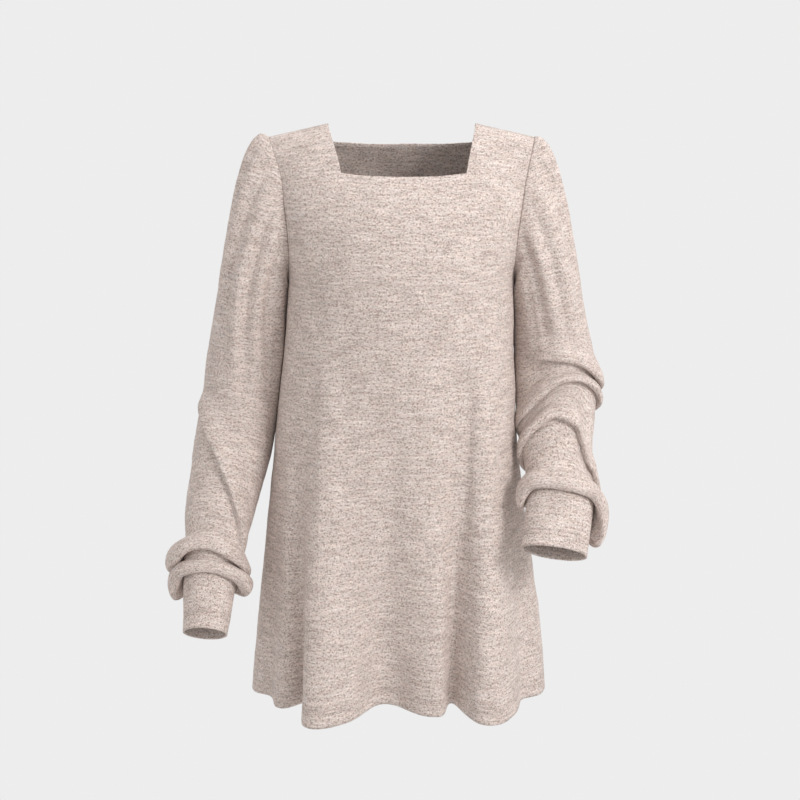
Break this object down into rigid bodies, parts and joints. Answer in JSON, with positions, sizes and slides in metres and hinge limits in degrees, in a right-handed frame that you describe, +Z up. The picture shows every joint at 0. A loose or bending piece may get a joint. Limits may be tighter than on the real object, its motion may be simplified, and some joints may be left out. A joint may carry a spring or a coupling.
{
  "type": "knit tunic top",
  "caption": "Long-sleeved knit tunic top with a square neck, gathered sleeve caps, bunched full sleeves, deep cuffs and a flared, fluted skirt, in its hollow worn form.",
  "frame": {"origin": "where the garment hangs from the wearer's shoulders: midway between them, at the mean height of the shoulder seams", "axes": "+Z up towards the head, front facing -Y, the wearer's left sleeve at +X"},
  "size_m": [0.6072, 0.3304, 0.8048],
  "materials": {
    "oatmeal_knit": "brushed heathered knit"
  },
  "bodies": {
    "root": {"front": "oatmeal_knit", "back": "oatmeal_knit", "sleeve_right": "oatmeal_knit", "sleeve_left": "oatmeal_knit", "cuff_right": "oatmeal_knit", "cuff_left": "oatmeal_knit"}
  },
  "joints": []
}
